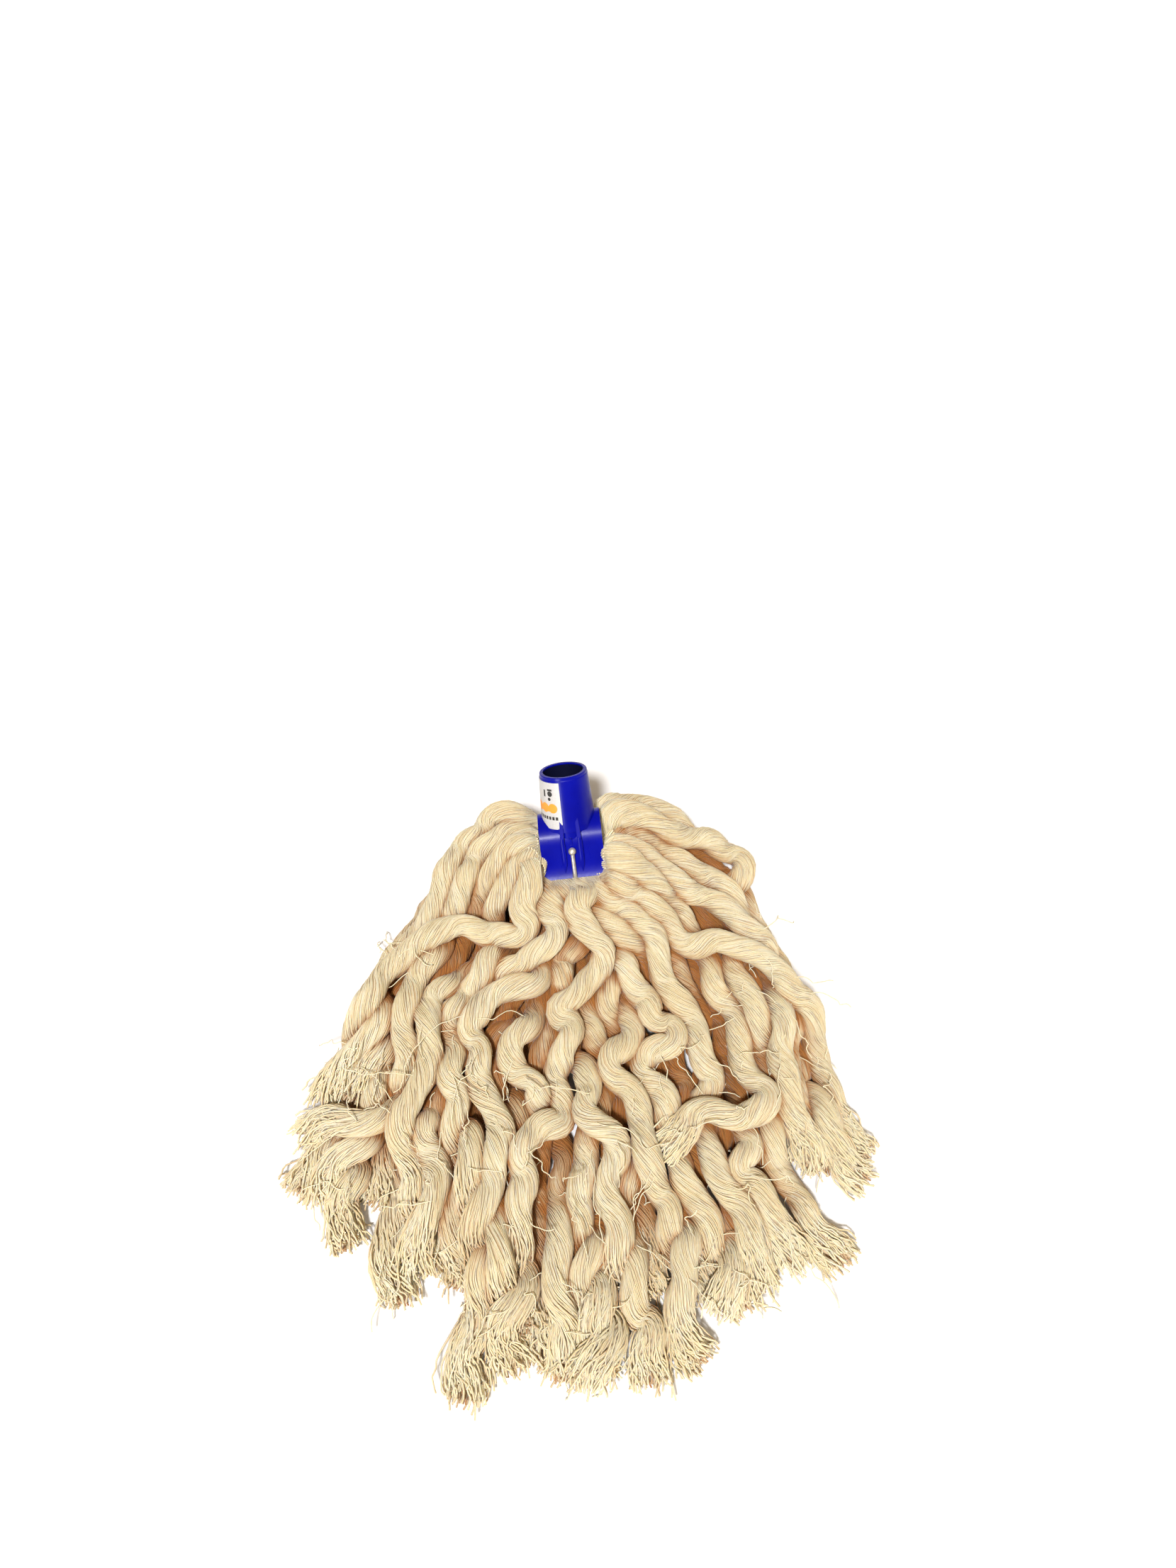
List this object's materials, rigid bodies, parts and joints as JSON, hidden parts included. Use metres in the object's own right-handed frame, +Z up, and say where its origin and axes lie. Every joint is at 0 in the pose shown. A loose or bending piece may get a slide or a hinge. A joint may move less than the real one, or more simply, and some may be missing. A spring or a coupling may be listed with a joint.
{
  "type": "socket mop head",
  "caption": "String mop head lying on a floor: leaning plastic handle socket with a saddle, a retaining wire, a sticker and thick looped cotton strands fanned forward.",
  "frame": {"origin": "centre of the handle socket's mouth, where the mop handle goes in", "axes": "+Z up from the floor the strands lie on; +X to the right along the saddle; the strands fan toward -Y and the socket leans back toward +Y"},
  "size_m": [0.3693, 0.3986, 0.1026],
  "materials": {
    "socket_plastic": "moulded, glossy, ultramarine blue",
    "wire_steel": "galvanised wire",
    "label_paper": "printed paper sticker, satin",
    "cotton_yarn": "raw cotton yarn, loosely twisted, cream"
  },
  "bodies": {
    "root": {"socket": "socket_plastic", "retaining_wire": "wire_steel", "label": "label_paper", "strand_01": "cotton_yarn", "strand_02": "cotton_yarn", "strand_03": "cotton_yarn", "strand_04": "cotton_yarn", "strand_05": "cotton_yarn", "strand_06": "cotton_yarn", "strand_07": "cotton_yarn", "strand_08": "cotton_yarn", "strand_09": "cotton_yarn", "strand_10": "cotton_yarn", "strand_11": "cotton_yarn", "strand_12": "cotton_yarn", "strand_13": "cotton_yarn", "strand_14": "cotton_yarn", "strand_15": "cotton_yarn", "strand_16": "cotton_yarn", "strand_17": "cotton_yarn", "strand_18": "cotton_yarn", "strand_19": "cotton_yarn", "strand_20": "cotton_yarn"}
  },
  "joints": []
}
